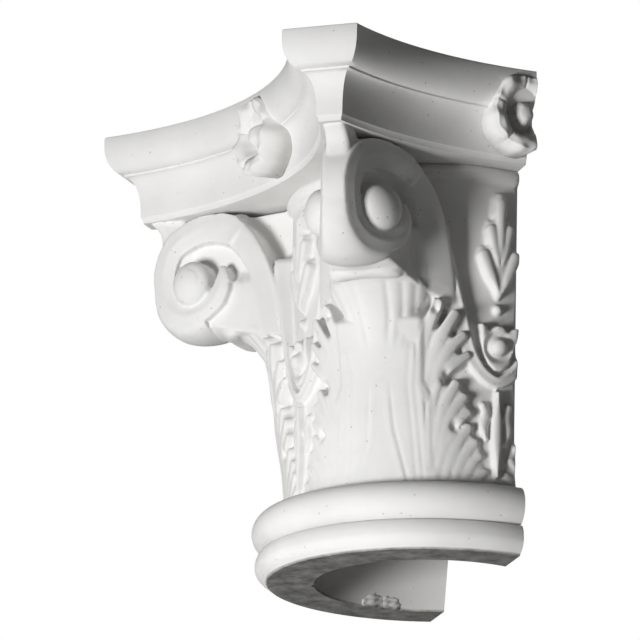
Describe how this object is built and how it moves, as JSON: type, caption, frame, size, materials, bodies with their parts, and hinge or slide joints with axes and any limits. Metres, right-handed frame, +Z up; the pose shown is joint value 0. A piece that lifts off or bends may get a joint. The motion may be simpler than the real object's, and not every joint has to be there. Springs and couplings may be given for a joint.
{
  "type": "half corinthian capital",
  "caption": "Half capital of a Corinthian column in white cast plaster: hollow-sided abacus with rosettes, corner volutes on stems, acanthus leaves, ring at the foot and an open back.",
  "frame": {"origin": "on the column's axis, level with the flat underside of the ring", "axes": "+Z up the column's axis, -Y towards the front face, +X towards the half face whose end is cut nearest the axis"},
  "size_m": [0.386, 0.2507, 0.343],
  "materials": {
    "plaster": "matt cast plaster, slightly dusty, with pinholes"
  },
  "bodies": {
    "root": {"capital": "plaster"}
  },
  "joints": []
}
